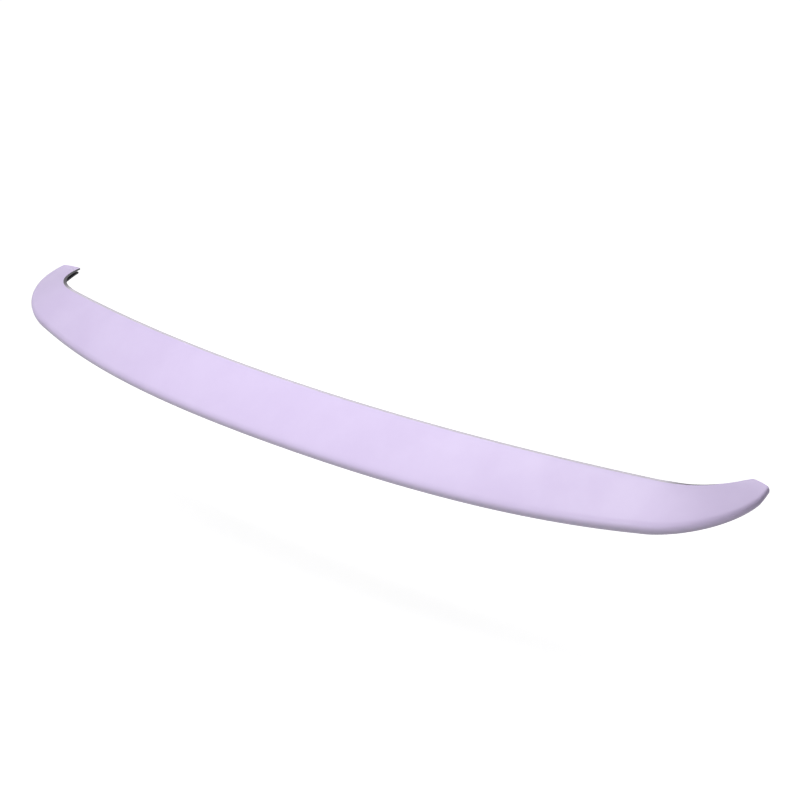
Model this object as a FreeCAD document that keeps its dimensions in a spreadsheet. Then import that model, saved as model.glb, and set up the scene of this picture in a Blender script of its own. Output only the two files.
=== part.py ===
import FreeCAD, Part
import math
import os
import Sketcher

# Front spoiler: one moulded skin with a hooked section, open at the back.
# +X runs along the width, -Y is the front, +Z is up. The middle plane is x = 0
# and the level top rim is z = 0, with the middle of the rim close to the origin.

doc = FreeCAD.newDocument("front_spoiler")

# Driving dimensions: millimetres, degrees for the two directions, plain powers for the fades.
sizes = doc.addObject("Spreadsheet::Sheet", "Sizes")
driving = [
    ("front_depth", 84.5),     # height of the section in the middle, before the rim is trimmed
    ("shoulder_depth", 66.5),  # height of the section where the front meets the corner
    ("tip_depth", 11.6),       # height of the section at the cut end
    ("front_reach", 79.5),     # rim to the foremost line of the lower lip, in the middle
    ("shoulder_reach", 64.5),  # the same where the front meets the corner
    ("tip_reach", 40.5),       # the same at the cut end
    ("front_run", 662),        # length of half the bowed front, along the rim
    ("front_turn", 11.8),      # direction of the rim where the front meets the corner
    ("corner_radius", 124.5),  # rim in plan, round the corner
    ("leg_angle", 71),         # direction of the rim along the leg
    ("leg_run", 24.5),         # straight end of the rim
    ("lip_radius", 14),        # outer radius of the lower lip along the front
    ("tip_lip_radius", 6.8),   # the same at the cut end
    ("floor_width", 42),       # foremost line to the free edge of the inturned floor
    ("tip_floor_width", 36.5), # the same at the cut end
    ("face_radius", 420),      # crown of the sloping face along the front
    ("tip_face_radius", 140),  # the same at the cut end
    ("wall", 3.5),             # thickness of the skin
    ("rim_trim", 0.8),         # height taken off all along the front to leave the rim level
    ("tip_drop", 2.4),         # how far the rim dips below level at the cut end
    ("front_fade", 3.55),      # how late the front gives way to the shoulder
    ("end_fade", 1.26),        # how late the shoulder gives way to the cut end
    ("reach_fade", 3.6),       # the same for the reach alone
    ("drop_fade", 3.05),       # the same for the dip of the rim
]
for row, (alias, number) in enumerate(driving, start=1):
    sizes.set("A%d" % row, alias)
    sizes.set("B%d" % row, str(number))
    sizes.setAlias("B%d" % row, alias)
doc.recompute()

body = doc.addObject("PartDesign::Body", "Spoiler")
body.Label = "front_spoiler"
planes = {}
for feature in body.Origin.OriginFeatures:
    planes[feature.Role] = feature


# The rim in plan is a wide front arc, a corner arc and a short straight leg.
# A place on it is a zone and a share of that zone. It yields the direction of the rim,
# the distance across from the middle and the distance back.
def place_on_rim(zone, share):
    bow = "(Sizes.front_run * 180 / (pi * Sizes.front_turn))"
    if zone == "front":
        angle = "(%g * Sizes.front_turn)" % share
        across = "%s * sin(%s)" % (bow, angle)
        back = "%s * (1 - cos(%s))" % (bow, angle)
        return angle, across, back
    if zone == "corner":
        start = place_on_rim("front", 1)
        angle = "(Sizes.front_turn + %g * (Sizes.leg_angle - Sizes.front_turn))" % share
        across = start[1] + " + Sizes.corner_radius * (sin(%s) - sin(Sizes.front_turn))" % angle
        back = start[2] + " + Sizes.corner_radius * (cos(Sizes.front_turn) - cos(%s))" % angle
        return angle, across, back
    start = place_on_rim("corner", 1)
    across = start[1] + " + %g * Sizes.leg_run * cos(Sizes.leg_angle)" % share
    back = start[2] + " + %g * Sizes.leg_run * sin(Sizes.leg_angle)" % share
    return "Sizes.leg_angle", across, back


# How far a place has gone from the middle to the shoulder, and from the shoulder to the cut end.
def gone(zone, share):
    bend = "((Sizes.leg_angle - Sizes.front_turn) * pi / 180 * Sizes.corner_radius)"
    if zone == "front":
        return "%g" % share, "0"
    if zone == "corner":
        run = "%g * %s" % (share, bend)
    else:
        run = "(%s + %g * Sizes.leg_run)" % (bend, share)
    return "1", "(%s / (%s + Sizes.leg_run))" % (run, bend)


# A size that changes from the middle over the shoulder to the cut end.
def faded(middle, shoulder, tip, fade, steps):
    first = "(Sizes.%s - Sizes.%s) * %s ^ Sizes.front_fade" % (shoulder, middle, steps[0])
    second = "(Sizes.%s - Sizes.%s) * %s ^ Sizes.%s" % (tip, shoulder, steps[1], fade)
    return "Sizes.%s + %s + %s" % (middle, first, second)


# An upright sketch plane square to the rim, with its origin on the rim.
# The sizes of its section are held on the sketch and follow the sheet.
def section_plane(name, side, zone, share):
    sketch = body.newObject("Sketcher::SketchObject", name)
    sketch.AttachmentSupport = [(planes["YZ_Plane"], "")]
    sketch.MapMode = "FlatFace"
    turn = FreeCAD.Rotation(FreeCAD.Vector(0, 1, 0), 5)
    sketch.AttachmentOffset = FreeCAD.Placement(FreeCAD.Vector(0, 0, 0), turn)
    angle, across, back = place_on_rim(zone, share)
    sketch.setExpression("AttachmentOffset.Base.x", back)
    sketch.setExpression("AttachmentOffset.Base.z", "%d * (%s)" % (side, across))
    sketch.setExpression("AttachmentOffset.Rotation.Angle", "%d * %s" % (side, angle))
    steps = gone(zone, share)
    sunk = "(Sizes.rim_trim + Sizes.tip_drop) * %s ^ Sizes.drop_fade" % steps[1]
    sketch.setExpression("AttachmentOffset.Base.y", "Sizes.rim_trim - " + sunk)
    ended = "%s ^ Sizes.end_fade" % steps[1]
    held = [
        ("Depth", faded("front_depth", "shoulder_depth", "tip_depth", "end_fade", steps)),
        ("Reach", faded("front_reach", "shoulder_reach", "tip_reach", "reach_fade", steps)),
        ("Lip", faded("lip_radius", "lip_radius", "tip_lip_radius", "end_fade", steps)),
        ("Floor", faded("floor_width", "floor_width", "tip_floor_width", "end_fade", steps)),
        ("Crown", "Sizes.face_radius / (1 + (Sizes.face_radius / Sizes.tip_face_radius - 1) * %s)" % ended),
        ("Skin", "Sizes.wall"),
        ("Trim", "90 * " + ended),
    ]
    for held_name, formula in held:
        sketch.addProperty("App::PropertyFloat", held_name, "Section")
        sketch.setExpression(held_name, formula)
    return sketch


def arc(centre, radius, start, end):
    circle = Part.Circle(centre, FreeCAD.Vector(0, 0, 1), radius)
    return Part.ArcOfCircle(circle, start, end)


def line(first_x, first_y, last_x, last_y):
    return Part.LineSegment(FreeCAD.Vector(first_x, first_y, 0), FreeCAD.Vector(last_x, last_y, 0))


# A named constraint that follows a formula.
def bind(sketch, name, constraint, formula):
    index = sketch.addConstraint(constraint)
    sketch.renameConstraint(index, name)
    sketch.setExpression("Constraints." + name, formula)


# The hooked section: crowned face from the rim, rounded lower lip and inturned floor,
# all one wall thick. The rim is trimmed level along the front and square at the cut end.
# The lip is drawn in four arcs round one centre: face to foremost line, then three down to the floor.
def draw_section(sketch):
    skin = sketch.Skin
    floor = -sketch.Depth
    free = sketch.Floor - sketch.Reach
    lip = FreeCAD.Vector(sketch.Lip - sketch.Reach, sketch.Lip - sketch.Depth, 0)
    # Centre of the face arc, on the inner side: the arc starts at the rim and hugs the lip.
    span = lip.Length
    near = sketch.Crown - sketch.Lip
    foot = (sketch.Crown ** 2 - near ** 2 + span ** 2) / (2 * span)
    rise = math.sqrt(sketch.Crown ** 2 - foot ** 2)
    along = lip * (1 / span)
    crown = along * foot + FreeCAD.Vector(-along.y, along.x, 0) * rise
    at_rim = math.atan2(-crown.y, -crown.x)
    at_lip = math.atan2(lip.y - crown.y, lip.x - crown.x) % (2 * math.pi)
    # Inner edge of the trimmed rim: from the rim, at the trim angle, to the inner face.
    slant = -math.radians(sketch.Trim)
    trim = FreeCAD.Vector(math.cos(slant), math.sin(slant), 0)
    toward = trim.dot(crown)
    trim = trim * (toward - math.sqrt(toward ** 2 - sketch.Crown ** 2 + (sketch.Crown - skin) ** 2))
    at_trim = math.atan2(trim.y - crown.y, trim.x - crown.x)
    step = math.pi / 6
    turns = [at_lip, math.pi, math.pi + step, math.pi + 2 * step, math.pi + 3 * step]
    shapes = [arc(crown, sketch.Crown, at_rim, at_lip)]
    for start, end in zip(turns, turns[1:]):
        shapes.append(arc(lip, sketch.Lip, start, end))
    shapes.append(line(lip.x, floor, free, floor))
    shapes.append(line(free, floor, free, floor + skin))
    shapes.append(line(free, floor + skin, lip.x, floor + skin))
    for start, end in zip(turns, turns[1:]):
        shapes.append(arc(lip, sketch.Lip - skin, start, end))
    shapes.append(arc(crown, sketch.Crown - skin, at_trim, at_lip))
    shapes.append(line(0, 0, trim.x, trim.y))
    sketch.addGeometry(shapes, False)
    # Outline in order: 0 face, 1 to 4 lip, 5 floor, 6 free edge, 7 inner floor,
    # 8 to 11 inner lip from the face down, 12 inner face, 13 rim.
    joined = [
        Sketcher.Constraint("Coincident", 0, 1, -1, 1),
        Sketcher.Constraint("Tangent", 0, 2, 1, 1),
        Sketcher.Constraint("Tangent", 4, 2, 5, 1),
        Sketcher.Constraint("Coincident", 5, 2, 6, 1),
        Sketcher.Constraint("Coincident", 6, 2, 7, 1),
        Sketcher.Constraint("Tangent", 7, 2, 11, 2),
        Sketcher.Constraint("Tangent", 8, 1, 12, 2),
        Sketcher.Constraint("Coincident", 12, 1, 13, 2),
        Sketcher.Constraint("Coincident", 13, 1, 0, 1),
        Sketcher.Constraint("Coincident", 1, 3, 8, 3),
        Sketcher.Constraint("Coincident", 0, 3, 12, 3),
        Sketcher.Constraint("Horizontal", 5),
        Sketcher.Constraint("Vertical", 6),
        Sketcher.Constraint("Horizontal", 7),
    ]
    for first in (1, 8):
        for piece in (first, first + 1, first + 2):
            joined.append(Sketcher.Constraint("Coincident", piece, 2, piece + 1, 1))
            joined.append(Sketcher.Constraint("Coincident", piece, 3, piece + 1, 3))
        joined.append(Sketcher.Constraint("Horizontal", first, 2, first, 3))
        joined.append(Sketcher.Constraint("Angle", first + 1, step))
        joined.append(Sketcher.Constraint("Angle", first + 2, step))
    sketch.addConstraint(joined)
    bind(sketch, "CrownRadius", Sketcher.Constraint("Radius", 0, sketch.Crown), "Crown")
    bind(sketch, "LipRadius", Sketcher.Constraint("Radius", 1, sketch.Lip), "Lip")
    bind(sketch, "LipAhead", Sketcher.Constraint("DistanceX", 1, 3, -1, 1, -lip.x), "Reach - Lip")
    bind(sketch, "LipDown", Sketcher.Constraint("DistanceY", 1, 3, -1, 1, -lip.y), "Depth - Lip")
    bind(sketch, "FreeEdge", Sketcher.Constraint("DistanceX", 5, 2, -1, 1, -free), "Reach - Floor")
    bind(sketch, "FloorSkin", Sketcher.Constraint("DistanceY", 6, 1, 6, 2, skin), "Skin")
    bind(sketch, "RimSlant", Sketcher.Constraint("Angle", 13, slant), "-Trim")


# Section stations from the middle to the cut end, closer together round the corner.
stations = [
    ("front", 0.2),
    ("front", 0.4),
    ("front", 0.58),
    ("front", 0.74),
    ("front", 0.87),
    ("front", 0.96),
    ("corner", 0.1),
    ("corner", 0.3),
    ("corner", 0.5),
    ("corner", 0.7),
    ("corner", 0.9),
    ("leg", 0.3),
    ("leg", 1),
]
middle = section_plane("SectionMiddle", 1, "front", 0)
right = []
left = []
for number, (zone, share) in enumerate(stations, start=1):
    right.append(section_plane("SectionRight%d" % number, 1, zone, share))
    left.append(section_plane("SectionLeft%d" % number, -1, zone, share))
doc.recompute()
sections = list(reversed(left)) + [middle] + right
for section in sections:
    draw_section(section)
doc.recompute()

# The skin runs through all the sections from one cut end to the other.
skin = body.newObject("PartDesign::AdditiveLoft", "Skin")
skin.Profile = sections[0]
skin.Sections = sections[1:]
skin.Ruled = False
skin.Closed = False
doc.recompute()

# One level cut trims the rim flat along the front and runs out where the rim dips at the corners.
# Its outline is a rectangle well clear of the skin all round.
clearing = body.newObject("Sketcher::SketchObject", "Clearing")
clearing.AttachmentSupport = [(planes["XY_Plane"], "")]
clearing.MapMode = "FlatFace"
sides = [
    line(-900, -170, 900, -170),
    line(900, -170, 900, 680),
    line(900, 680, -900, 680),
    line(-900, 680, -900, -170),
]
clearing.addGeometry(sides, False)
corners = [
    Sketcher.Constraint("Coincident", 0, 2, 1, 1),
    Sketcher.Constraint("Coincident", 1, 2, 2, 1),
    Sketcher.Constraint("Coincident", 2, 2, 3, 1),
    Sketcher.Constraint("Coincident", 3, 2, 0, 1),
    Sketcher.Constraint("Vertical", 1),
    Sketcher.Constraint("Horizontal", 2),
    Sketcher.Constraint("Vertical", 3),
    Sketcher.Constraint("Symmetric", 0, 1, 0, 2, -2),
]
clearing.addConstraint(corners)
across = "2 * Sizes.front_run + 4 * Sizes.corner_radius"
bind(clearing, "Across", Sketcher.Constraint("DistanceX", 0, 1, 0, 2, 1800), across)
bind(clearing, "Ahead", Sketcher.Constraint("DistanceY", 0, 1, -1, 1, 170), "2 * Sizes.front_reach")
bind(clearing, "Behind", Sketcher.Constraint("DistanceY", -1, 1, 2, 1, 680), "Sizes.front_run")
rim = body.newObject("PartDesign::Pocket", "LevelRim")
rim.Profile = clearing
rim.Type = "Length"
rim.setExpression("Length", "Sizes.front_depth")
rim.Reversed = True
doc.recompute()

for item in doc.Objects:
    if "Invalid" in item.State or "Error" in item.State:
        raise RuntimeError("%s did not build" % item.Name)
shape = body.Shape
if shape.isNull() or not shape.isValid() or len(shape.Solids) != 1:
    raise RuntimeError("the spoiler is not one sound solid")

os.makedirs("parts", exist_ok=True)
shape.exportStep("parts/%s.step" % body.Label)
box = shape.BoundBox
print("across", round(box.XLength, 1), "deep", round(box.YLength, 1), "high", round(box.ZLength, 1))
print("volume", round(shape.Volume, 1))
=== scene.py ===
import math

import bpy
import numpy as np
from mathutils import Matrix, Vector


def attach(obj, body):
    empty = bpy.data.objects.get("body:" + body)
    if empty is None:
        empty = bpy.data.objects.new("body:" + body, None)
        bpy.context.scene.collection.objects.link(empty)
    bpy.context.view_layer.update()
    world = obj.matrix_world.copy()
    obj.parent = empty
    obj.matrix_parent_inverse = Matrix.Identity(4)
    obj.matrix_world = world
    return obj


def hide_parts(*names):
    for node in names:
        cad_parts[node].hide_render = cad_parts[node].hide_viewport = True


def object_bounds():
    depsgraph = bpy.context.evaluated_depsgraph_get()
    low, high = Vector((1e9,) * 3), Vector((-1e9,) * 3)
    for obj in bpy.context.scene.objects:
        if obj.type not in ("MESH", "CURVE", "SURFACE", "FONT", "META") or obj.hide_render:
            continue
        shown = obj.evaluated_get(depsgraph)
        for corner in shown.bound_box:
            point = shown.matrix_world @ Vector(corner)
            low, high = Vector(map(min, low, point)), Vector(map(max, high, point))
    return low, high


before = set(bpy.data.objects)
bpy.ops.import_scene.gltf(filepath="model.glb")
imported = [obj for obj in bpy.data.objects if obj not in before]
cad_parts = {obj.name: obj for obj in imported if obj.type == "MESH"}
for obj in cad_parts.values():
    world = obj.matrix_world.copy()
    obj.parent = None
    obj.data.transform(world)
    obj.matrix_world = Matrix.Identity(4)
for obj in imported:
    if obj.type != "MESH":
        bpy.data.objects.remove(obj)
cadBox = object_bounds()
print("frame loaded:", ", ".join(sorted(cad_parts)))

# metres and degrees; the shape's values are those that drive the solid
skinSizes = {
    # height of the section, then rim to the foremost line of the lip: middle, shoulder, cut end
    "frontDepth": 0.0845, "shoulderDepth": 0.0665, "tipDepth": 0.0116,
    "frontReach": 0.0795, "shoulderReach": 0.0645, "tipReach": 0.0405,
    # rim in plan: half the bowed front and its heading at the end, then the corner and the leg
    "frontRun": 0.662, "frontTurn": 11.8,
    "cornerRadius": 0.1245, "legAngle": 71, "legRun": 0.0245,
    # section: lip, floor and crowned face, with their values at the cut end
    "lipRadius": 0.014, "tipLipRadius": 0.0068,
    "floorWidth": 0.042, "tipFloorWidth": 0.0365,
    "faceRadius": 0.420, "tipFaceRadius": 0.140,
    "wall": 0.0035, "rimTrim": 0.0008, "tipDrop": 0.0024,
    # powers by which the section changes along the rim
    "frontFade": 3.55, "endFade": 1.26, "reachFade": 3.6, "dropFade": 3.05,
    # grid along half the rim, then round one side of the section
    "frontSteps": 120, "cornerSteps": 84, "legSteps": 20,
    "faceSteps": 26, "lipSteps": 18, "floorSteps": 5,
    # rounding of every edge that is sharper than the angle
    "edgeRound": 0.0005, "roundSteps": 2, "roundAngle": 32,
    # how soon pale dust leaves the rim as it turns upright, which lets the rim go dark as painted
    # shade towards the ends, and how much weaker the painted shade under the lip is at the ends
    "rimDustShadeFade": 30, "endUnderShadeCut": 0.4,
}


# Rim in plan. The distance from the middle is spent on a wide arc, then a corner arc, then a
# straight leg. Each place gets a side, a heading, its x and y, and how far it has gone to the
# shoulder and to the cut end.
def rimPlaces(s):
    corner = s["cornerRadius"]
    turn, legTurn = math.radians(s["frontTurn"]), math.radians(s["legAngle"])
    bow, bend = s["frontRun"] / turn, corner * (legTurn - turn)
    half = np.concatenate([
        np.linspace(0, s["frontRun"], s["frontSteps"], endpoint=False),
        s["frontRun"] + np.linspace(0, bend, s["cornerSteps"], endpoint=False),
        s["frontRun"] + bend + np.linspace(0, s["legRun"], s["legSteps"]),
    ])
    side = np.concatenate([-np.ones(len(half) - 1), np.ones(len(half))])
    run = np.concatenate([half[:0:-1], half])
    onFront = np.minimum(run, s["frontRun"])
    onCorner = np.clip(run - s["frontRun"], 0, bend)
    onLeg = np.clip(run - s["frontRun"] - bend, 0, None)
    start = onFront / bow
    heading = start + onCorner / corner
    x = (bow * np.sin(start) + corner * (np.sin(heading) - np.sin(start))
         + onLeg * np.cos(heading))
    y = (bow * (1 - np.cos(start)) + corner * (np.cos(start) - np.cos(heading))
         + onLeg * np.sin(heading))
    toShoulder = (onFront / s["frontRun"]) ** s["frontFade"]
    toEnd = (onCorner + onLeg) / (bend + s["legRun"])
    return side, heading, x, y, toShoulder, toEnd


# Angle at which each point is seen from its centre, from zero to a full turn.
def bearing(points, centre):
    return np.arctan2(points[:, 1] - centre[:, 1], points[:, 0] - centre[:, 0]) % (2 * np.pi)


# Points on circles: centre plus radius times (cos, sin) of angles spaced evenly from first to last.
def arcPoints(centre, radius, first, last, count):
    angle = first[:, None] + (last - first)[:, None] * np.linspace(0, 1, count)
    return centre[:, None] + radius[:, None, None] * np.stack([np.cos(angle), np.sin(angle)], -1)


# Points spaced evenly on straight lines from first to last.
def linePoints(first, last, count):
    return first[:, None] + (last - first)[:, None] * np.linspace(0, 1, count)[:, None]


# Hooked section at every place, as (inward, up) from the untrimmed rim: a face arc from the rim
# that hugs the lip, the lip arc down to the floor, the floor back to its free edge, then the same
# lines one wall further in. All that stands above the level rim is taken off.
def sectionPoints(s, toShoulder, toEnd):
    toTip = toEnd ** s["endFade"]

    def faded(middle, shoulder, tip, ending):
        atShoulder = s[middle] + (s[shoulder] - s[middle]) * toShoulder
        return atShoulder + (s[tip] - s[shoulder]) * ending

    depth = faded("frontDepth", "shoulderDepth", "tipDepth", toTip)
    reach = faded("frontReach", "shoulderReach", "tipReach", toEnd ** s["reachFade"])
    lipRadius = faded("lipRadius", "lipRadius", "tipLipRadius", toTip)
    floorWidth = faded("floorWidth", "floorWidth", "tipFloorWidth", toTip)
    crown = s["faceRadius"] / (1 + (s["faceRadius"] / s["tipFaceRadius"] - 1) * toTip)
    inner = crown - s["wall"]
    lift = s["rimTrim"] - (s["rimTrim"] + s["tipDrop"]) * toEnd ** s["dropFade"]
    # the rim's own cut turns from level in the middle to upright at the end
    slant = toTip * np.pi / 2

    # centre of the face arc, so that it starts at the rim and touches the lip arc
    lip = np.stack([lipRadius - reach, lipRadius - depth], -1)
    span = np.linalg.norm(lip, axis=1)
    foot = (crown ** 2 - (crown - lipRadius) ** 2 + span ** 2) / (2 * span)
    rise = np.sqrt(crown ** 2 - foot ** 2)
    towards = lip / span[:, None]
    square = np.stack([-towards[:, 1], towards[:, 0]], -1)
    centre = towards * foot[:, None] + square * rise[:, None]
    atLip = bearing(lip, centre)
    straightDown = np.full_like(atLip, 1.5 * np.pi)

    # outer start of the face: the level cut where the rim stands above it, otherwise the rim itself
    levelOut = np.pi - np.arcsin((-lift - centre[:, 1]) / crown)
    levelIn = np.pi - np.arcsin((-lift - centre[:, 1]) / inner)
    atRim = np.where(lift > 0, levelOut, bearing(np.zeros_like(centre), centre))
    # inner end of the face: the level cut where it takes the whole rim, otherwise the rim's own cut
    cut = np.stack([np.cos(slant), -np.sin(slant)], -1)
    along = (cut * centre).sum(1)
    cutLength = along - np.sqrt(along ** 2 - crown ** 2 + inner ** 2)
    cutEnd = cut * cutLength[:, None]
    drop = cutLength * np.sin(slant)
    flatAll = lift >= drop
    atInner = np.where(flatAll, levelIn, bearing(cutEnd, centre))

    free = np.stack([floorWidth - reach, -depth], -1)
    lipFoot = np.stack([lip[:, 0], -depth], -1)
    up = np.array([0, s["wall"]])
    nFace, nLip, nFloor = s["faceSteps"], s["lipSteps"], s["floorSteps"]
    outside = np.concatenate([
        arcPoints(centre, crown, atRim, atLip, nFace),
        arcPoints(lip, lipRadius, atLip, straightDown, nLip)[:, 1:],
        linePoints(lipFoot, free, nFloor)[:, 1:],
    ], 1)
    inside = np.concatenate([
        linePoints(free + up, lipFoot + up, nFloor),
        arcPoints(lip, lipRadius - s["wall"], straightDown, atLip, nLip)[:, 1:],
        arcPoints(centre, inner, atLip, atInner, nFace)[:, 1:],
    ], 1)
    # ridge point on the rim: where both cuts meet, or halfway when only one of them is left
    leastDrop = 1e-9
    meeting = cutEnd * np.clip(lift / np.maximum(drop, leastDrop), 0, 1)[:, None]
    bothCuts = (lift > 0) & ~flatAll
    ridge = np.where(bothCuts[:, None], meeting, (outside[:, 0] + inside[:, -1]) / 2)
    loop = np.concatenate([outside, inside, ridge[:, None]], 1)
    loop[:, :, 1] += lift[:, None]
    # the last value is the rim's dust mask; its quick fall towards the ends lets the dark back show
    # there as painted shade
    return loop, outside.shape[1], np.cos(slant) ** s["rimDustShadeFade"]


# Values on the skin's points that the finishes read: distance in from the rim along the inner side,
# how level the rim lies there, which sets the pale dust and the painted shade on the rim at the
# ends, and how far the outside has turned under, which sets the
# painted shade under the lip: nothing on the face and all on the floor, and less towards the cut
# ends.
def skinLayers(s, points, count, rimDustAndEndShade, toEnd):
    rows, around = points.shape[:2]
    pace = np.linalg.norm(np.diff(points[:, count:2 * count], axis=1), axis=2)
    fromFree = np.concatenate([np.zeros((rows, 1)), np.cumsum(pace, 1)], 1)
    fromRim = np.zeros((rows, around))
    fromRim[:, count:2 * count] = fromFree[:, -1:] - fromFree
    fromRim[:, count - 1] = fromRim[:, count]

    lipStart = s["faceSteps"] - 1
    lipEnd = lipStart + s["lipSteps"]
    underShade = np.zeros((rows, around))
    underShade[:, lipStart:lipEnd] = np.linspace(0, 1, s["lipSteps"])
    underShade[:, lipEnd:count] = 1
    # painted shade under the lip is weaker towards the cut ends
    underShade *= (1 - s["endUnderShadeCut"] * toEnd)[:, None]
    level = np.repeat(rimDustAndEndShade[:, None], around, 1)
    return {"fromRim": fromRim, "rimDustAndEndShade": level, "underLipShade": underShade}


# The skin: every section set square to the rim at its place, joined into one closed wall with two
# cut ends. The outside takes the first finish, all the rest the second.
def makeSkin(s):
    side, heading, x, y, toShoulder, toEnd = rimPlaces(s)
    loop, count, rimDustAndEndShade = sectionPoints(s, toShoulder, toEnd)
    inward, up = loop[:, :, 0], loop[:, :, 1]
    acrossX = side[:, None] * (x[:, None] - inward * np.sin(heading)[:, None])
    backY = y[:, None] + inward * np.cos(heading)[:, None]
    points = np.stack([acrossX, backY, up], -1)
    rows, around = points.shape[:2]

    index = np.arange(rows * around).reshape(rows, around)
    after = np.roll(index, -1, axis=1)
    quads = np.stack([index[:-1], after[:-1], after[1:], index[1:]], -1)
    # cut ends: strips across the wall, from the free edge up to the rim
    step = np.arange(1, count - 1)
    mate = 2 * count - 1 - step
    strip = np.stack([step, step + 1, mate - 1, mate], -1)
    top = np.array([0, 1, 2 * count - 2, 2 * count - 1, 2 * count])
    last = (rows - 1) * around
    faces = quads.reshape(-1, 4).tolist()
    faces += (strip + last).tolist() + strip[:, ::-1].tolist()
    faces += [(top + last).tolist(), top[::-1].tolist()]

    wallFinish = np.ones(quads.shape[:2], np.int32)
    wallFinish[:, :count - 1] = 0
    finish = np.ones(len(faces), np.int32)
    finish[:wallFinish.size] = wallFinish.reshape(-1)
    mesh = bpy.data.meshes.new("spoilerSkin")
    mesh.from_pydata(points.reshape(-1, 3).tolist(), [], faces)
    mesh.polygons.foreach_set("material_index", finish)
    mesh.polygons.foreach_set("use_smooth", np.ones(len(faces), bool))
    for name, values in skinLayers(s, points, count, rimDustAndEndShade, toEnd).items():
        layer = mesh.attributes.new(name, "FLOAT", "POINT")
        layer.data.foreach_set("value", values.reshape(-1).astype(np.float32))
    mesh.update()
    skin = bpy.data.objects.new("spoilerSkin", mesh)
    bpy.context.scene.collection.objects.link(skin)
    bevel = skin.modifiers.new("softEdges", "BEVEL")
    bevel.width = s["edgeRound"]
    bevel.segments = s["roundSteps"]
    bevel.limit_method = "ANGLE"
    bevel.angle_limit = math.radians(s["roundAngle"])
    bevel.harden_normals = True
    return skin


def addNode(tree, kind, place, **values):
    node = tree.nodes.new(kind)
    node.location = place
    for name, value in values.items():
        node.inputs[name.replace("_", " ")].default_value = value
    return node


def addMath(tree, operation, place):
    node = addNode(tree, "ShaderNodeMath", place)
    node.operation = operation
    return node


# A soft step between two bounds.
def addFade(tree, place, **values):
    node = addNode(tree, "ShaderNodeMapRange", place, **values)
    node.interpolation_type = "SMOOTHSTEP"
    return node


# One of the values kept on the skin's points.
def addLayer(tree, place, name):
    node = addNode(tree, "ShaderNodeAttribute", place)
    node.attribute_name = name
    return node.outputs["Fac"]


# A Mix node set to colours. Its colours and its result go by number, as their names repeat.
mixFirst, mixSecond, mixResult = 6, 7, 2


def addColourMix(tree, place):
    node = addNode(tree, "ShaderNodeMix", place)
    node.data_type = "RGBA"
    return node


sprayLook = {
    "peelDetail": 3.0, "peelRough": 0.55,
    "cloudDetail": 4.0, "cloudRough": 0.6, "cloudFrom": 0.3, "cloudTo": 0.7,
}


# Sprayed surface: fine peel as a height, and slow clouding as a mask, both on the piece's own
# coordinates.
def makeSprayGroup(look):
    group = bpy.data.node_groups.new("sprayTexture", "ShaderNodeTree")
    for way, names in (("INPUT", ("Peel Scale", "Cloud Scale")), ("OUTPUT", ("Height", "Cloud"))):
        for name in names:
            group.interface.new_socket(name, in_out=way, socket_type="NodeSocketFloat")
    link = group.links.new
    given = addNode(group, "NodeGroupInput", (-700, 0))
    made = addNode(group, "NodeGroupOutput", (400, 0))
    where = addNode(group, "ShaderNodeTexCoord", (-700, -200))
    peel = addNode(group, "ShaderNodeTexNoise", (-400, 150),
                   Detail=look["peelDetail"], Roughness=look["peelRough"])
    cloud = addNode(group, "ShaderNodeTexNoise", (-400, -150),
                    Detail=look["cloudDetail"], Roughness=look["cloudRough"])
    soften = addFade(group, (0, -150), From_Min=look["cloudFrom"], From_Max=look["cloudTo"])
    link(where.outputs["Object"], peel.inputs["Vector"])
    link(where.outputs["Object"], cloud.inputs["Vector"])
    link(given.outputs["Peel Scale"], peel.inputs["Scale"])
    link(given.outputs["Cloud Scale"], cloud.inputs["Scale"])
    link(cloud.outputs["Fac"], soften.inputs["Value"])
    link(peel.outputs["Fac"], made.inputs["Height"])
    link(soften.outputs["Result"], made.inputs["Cloud"])
    return group


# Start of both finishes: two close tints mixed by the clouding, roughness that follows it, and the
# peel as a shallow bump.
def startFinish(name, look, spray):
    material = bpy.data.materials.new(name)
    material.use_nodes = True
    tree = material.node_tree
    link = tree.links.new
    surface = tree.nodes["Principled BSDF"]
    surface.inputs["Specular IOR Level"].default_value = look["specular"]
    texture = addNode(tree, "ShaderNodeGroup", (-1300, 0))
    texture.name = "spray"
    texture.node_tree = spray
    texture.inputs["Peel Scale"].default_value = look["peelScale"]
    texture.inputs["Cloud Scale"].default_value = look["cloudScale"]
    tint = addColourMix(tree, (-900, 250))
    tint.inputs[mixFirst].default_value, tint.inputs[mixSecond].default_value = look["tints"]
    sheen = addNode(tree, "ShaderNodeMapRange", (-350, -50),
                    To_Min=look["smooth"], To_Max=look["rough"])
    bump = addNode(tree, "ShaderNodeBump", (-350, -350),
                   Strength=look["peelStrength"], Distance=look["peelHeight"])
    link(texture.outputs["Cloud"], tint.inputs["Factor"])
    link(texture.outputs["Cloud"], sheen.inputs["Value"])
    link(texture.outputs["Height"], bump.inputs["Height"])
    link(sheen.outputs["Result"], surface.inputs["Roughness"])
    link(bump.outputs["Normal"], surface.inputs["Normal"])
    return material, tint.outputs[mixResult]


primerLook = {
    "tints": ((0.745, 0.640, 0.905, 1), (0.712, 0.605, 0.872, 1)),
    # the thin colour and its bounds give painted shade where the lip turns under
    "underShadeColour": (0.40, 0.355, 0.47, 1), "underShadeFrom": 0.20, "underShadeTo": 0.60,
    "smooth": 0.40, "rough": 0.52, "specular": 0.35,
    "peelScale": 420.0, "peelHeight": 0.00006, "peelStrength": 0.5, "cloudScale": 7.0,
}


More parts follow.
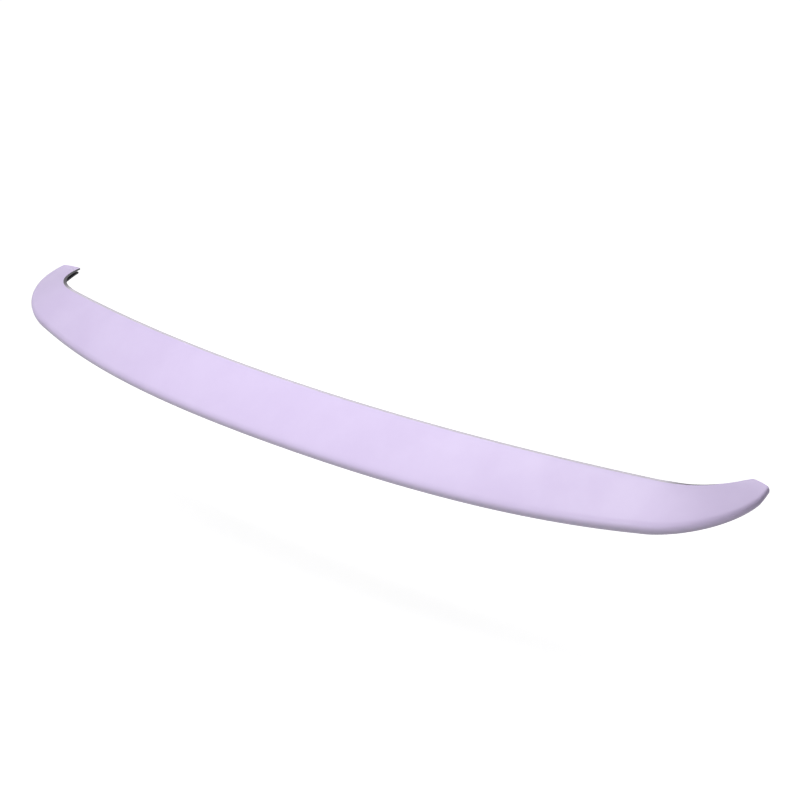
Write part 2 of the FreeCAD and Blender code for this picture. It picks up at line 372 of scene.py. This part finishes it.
# Primer: pale lilac, darkened by painted shade where the lip turns under.
def makePrimer(look, spray):
    material, lilac = startFinish("lilacPrimer", look, spray)
    tree = material.node_tree
    link = tree.links.new
    # painted shade: the lilac goes darker where the lip turns under
    underShadeFade = addFade(tree, (-650, 500), From_Min=look["underShadeFrom"], From_Max=look["underShadeTo"])
    shadedLilac = addColourMix(tree, (-350, 250))
    shadedLilac.inputs[mixSecond].default_value = look["underShadeColour"]
    link(addLayer(tree, (-900, 500), "underLipShade"), underShadeFade.inputs["Value"])
    link(underShadeFade.outputs["Result"], shadedLilac.inputs["Factor"])
    link(lilac, shadedLilac.inputs[mixFirst])
    link(shadedLilac.outputs[mixResult], tree.nodes["Principled BSDF"].inputs["Base Color"])
    return material


backLook = {
    "tints": ((0.055, 0.052, 0.060, 1), (0.120, 0.116, 0.128, 1)),
    "dust": (0.66, 0.62, 0.70, 1), "dustReach": 0.002, "dustWander": 0.004,
    "smooth": 0.50, "rough": 0.72, "specular": 0.3,
    "peelScale": 160.0, "peelHeight": 0.0003, "peelStrength": 0.6, "cloudScale": 22.0,
}


# Bare back: dark moulding with a rough hand. Pale dust has settled on the level rim and drifts a
# little way in. Where the rim turns upright towards the ends the dust leaves it, so the rim goes
# dark there as painted shade.
def makeBack(look, spray):
    material, bare = startFinish("bareBack", look, spray)
    tree = material.node_tree
    link = tree.links.new
    wander = addMath(tree, "MULTIPLY", (-1100, -150))
    wander.inputs[1].default_value = look["dustWander"]
    frayed = addMath(tree, "ADD", (-900, -200))
    drift = addFade(tree, (-700, -200), To_Min=1.0, To_Max=0.0,
                    From_Min=look["dustWander"], From_Max=look["dustReach"] + look["dustWander"])
    dustAndEndShade = addMath(tree, "MULTIPLY", (-550, -300))
    dustedAndShaded = addColourMix(tree, (-350, 250))
    dustedAndShaded.inputs[mixSecond].default_value = look["dust"]
    link(tree.nodes["spray"].outputs["Cloud"], wander.inputs[0])
    link(wander.outputs[0], frayed.inputs[0])
    link(addLayer(tree, (-1100, -350), "fromRim"), frayed.inputs[1])
    link(frayed.outputs[0], drift.inputs["Value"])
    link(drift.outputs["Result"], dustAndEndShade.inputs[0])
    # pale dust on the level rim, falling off into painted shade towards the ends
    link(addLayer(tree, (-700, -550), "rimDustAndEndShade"), dustAndEndShade.inputs[1])
    link(dustAndEndShade.outputs[0], dustedAndShaded.inputs["Factor"])
    link(bare, dustedAndShaded.inputs[mixFirst])
    link(dustedAndShaded.outputs[mixResult], tree.nodes["Principled BSDF"].inputs["Base Color"])
    return material


spray = makeSprayGroup(sprayLook)
skin = makeSkin(skinSizes)
skin.data.materials.append(makePrimer(primerLook, spray))
skin.data.materials.append(makeBack(backLook, spray))
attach(skin, "root")
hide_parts("front_spoiler")
print("skin:", len(skin.data.vertices), "points,", len(skin.data.polygons), "faces")

stageLook = {
    # floor below the lowest line, and half its side
    "floorDrop": 0.25, "floorHalf": 14.0,
    "floorColour": (0.80, 0.80, 0.80, 1), "floorRough": 0.9,
    # glow under the object and far off, and the distances between which it grows
    "nearGlow": 0.555, "farGlow": 0.99, "glowFrom": 0.4, "glowTo": 3.0,
    "white": (1, 1, 1, 1), "ambient": 0.03,
}


# One for every ray that should see plain white: from the camera, from a reflection or through glass.
def whiteRays(tree):
    path = addNode(tree, "ShaderNodeLightPath", (-900, 300))
    first = addMath(tree, "MAXIMUM", (-700, 300))
    both = addMath(tree, "MAXIMUM", (-500, 300))
    tree.links.new(path.outputs["Is Camera Ray"], first.inputs[0])
    tree.links.new(path.outputs["Is Glossy Ray"], first.inputs[1])
    tree.links.new(first.outputs[0], both.inputs[0])
    tree.links.new(path.outputs["Is Transmission Ray"], both.inputs[1])
    return both.outputs[0]


# A matt floor that keeps the shadow. The glow that lifts it to white grows with the distance from
# the middle, and it is seen by the white rays alone, so it lights nothing else.
def makeFloor(look, height):
    corner = np.array([[-1, -1], [1, -1], [1, 1], [-1, 1]]) * look["floorHalf"]
    points = np.column_stack([corner, np.full(len(corner), height)])
    mesh = bpy.data.meshes.new("paleFloor")
    mesh.from_pydata(points.tolist(), [], [(0, 1, 2, 3)])
    floor = bpy.data.objects.new("paleFloor", mesh)
    bpy.context.scene.collection.objects.link(floor)
    material = bpy.data.materials.new("paleFloor")
    material.use_nodes = True
    tree = material.node_tree
    link = tree.links.new
    matt = tree.nodes["Principled BSDF"]
    matt.inputs["Base Color"].default_value = look["floorColour"]
    matt.inputs["Roughness"].default_value = look["floorRough"]
    matt.inputs["Specular IOR Level"].default_value = 0.0
    where = addNode(tree, "ShaderNodeTexCoord", (-1300, 600))
    far = addNode(tree, "ShaderNodeVectorMath", (-1100, 600))
    far.operation = "LENGTH"
    level = addNode(tree, "ShaderNodeMapRange", (-900, 600),
                    From_Min=look["glowFrom"], From_Max=look["glowTo"],
                    To_Min=look["nearGlow"], To_Max=look["farGlow"])
    strength = addMath(tree, "MULTIPLY", (-300, 500))
    glow = addNode(tree, "ShaderNodeEmission", (-100, 400))
    both = addNode(tree, "ShaderNodeAddShader", (150, 200))
    link(where.outputs["Object"], far.inputs[0])
    link(far.outputs["Value"], level.inputs["Value"])
    link(whiteRays(tree), strength.inputs[0])
    link(level.outputs["Result"], strength.inputs[1])
    link(strength.outputs[0], glow.inputs["Strength"])
    link(matt.outputs[0], both.inputs[0])
    link(glow.outputs[0], both.inputs[1])
    link(both.outputs[0], tree.nodes["Material Output"].inputs["Surface"])
    mesh.materials.append(material)


# A dim white room for light, and a full white one for the white rays.
def makeWorld(look):
    world = bpy.data.worlds.new("softRoom")
    bpy.context.scene.world = world
    world.use_nodes = True
    tree = world.node_tree
    link = tree.links.new
    room = tree.nodes["Background"]
    room.inputs["Color"].default_value = look["white"]
    room.inputs["Strength"].default_value = look["ambient"]
    backdrop = addNode(tree, "ShaderNodeBackground", (-100, -150), Color=look["white"], Strength=1.0)
    pick = addNode(tree, "ShaderNodeMixShader", (150, 100))
    link(whiteRays(tree), pick.inputs["Fac"])
    link(room.outputs[0], pick.inputs[1])
    link(backdrop.outputs[0], pick.inputs[2])
    link(pick.outputs[0], tree.nodes["World Output"].inputs["Surface"])


lampLook = {
    "overhead": {"place": (-0.1, -0.4, 1.8), "aim": (0, 0, -0.03), "size": 1.2, "power": 26.1},
    "aheadLeft": {"place": (-0.6, -3.6, 0.9), "aim": (0, 0, -0.03), "size": 1.6, "power": 23.2},
    "aheadRight": {"place": (0.7, -3.6, 0.7), "aim": (0, 0, -0.03), "size": 1.6, "power": 31.5},
    "behind": {"place": (-0.3, 1.3, 3.0), "aim": (0, 0, -0.03), "size": 2.0, "power": 20.3},
    "rear": {"place": (0.3, 3.4, 0.9), "aim": (0, 0, -0.05), "size": 1.6, "power": 24},
    "lowRight": {"place": (2.2, -0.6, -0.1), "aim": (0.74, 0.05, -0.04), "size": 0.4, "power": 2},
}


# A square lamp turned so that it faces its aim.
def makeLamp(name, lamp):
    light = bpy.data.lights.new(name, "AREA")
    light.size = lamp["size"]
    light.energy = lamp["power"]
    holder = bpy.data.objects.new(name, light)
    bpy.context.scene.collection.objects.link(holder)
    away = np.array(lamp["place"]) - np.array(lamp["aim"])
    tilt = math.atan2(math.hypot(away[0], away[1]), away[2])
    holder.location = lamp["place"]
    holder.rotation_euler = (tilt, 0, math.atan2(away[0], -away[1]))


makeFloor(stageLook, cadBox[0].z - stageLook["floorDrop"])
makeWorld(stageLook)
for lampName, lampSettings in lampLook.items():
    makeLamp(lampName, lampSettings)
print("stage: floor, room and", len(lampLook), "lamps")

cameraView = {
    # degrees round to the right and above the horizon
    "turn": 41.42, "height": 21.63,
    # the slide moves the whole view, across and up the image
    "distance": 3.723, "aim": (0, 0.15, 0), "slide": (0.0581, -0.0639),
    # millimetres
    "lens": 99.0, "sensor": 36.0,
    "clipEnd": 100.0,
}


# Camera axes: right lies level, up leans back by the height, and the camera sits behind the aim by
# the distance.
def makeCamera(view):
    turn, height = math.radians(view["turn"]), math.radians(view["height"])
    level = math.cos(height)
    right = np.array([math.cos(turn), math.sin(turn), 0])
    back = np.array([math.sin(turn) * level, -math.cos(turn) * level, math.sin(height)])
    up = np.cross(back, right)
    across, rise = view["slide"]
    place = np.array(view["aim"]) + right * across + up * rise + back * view["distance"]
    data = bpy.data.cameras.new("photoView")
    data.lens = view["lens"]
    data.sensor_width = view["sensor"]
    data.clip_end = view["clipEnd"]
    camera = bpy.data.objects.new("photoView", data)
    bpy.context.scene.collection.objects.link(camera)
    camera.location = place.tolist()
    camera.rotation_euler = (math.pi / 2 - height, 0, turn)
    bpy.context.scene.camera = camera


makeCamera(cameraView)
bpy.context.scene.view_settings.view_transform = "Standard"
print("camera set")
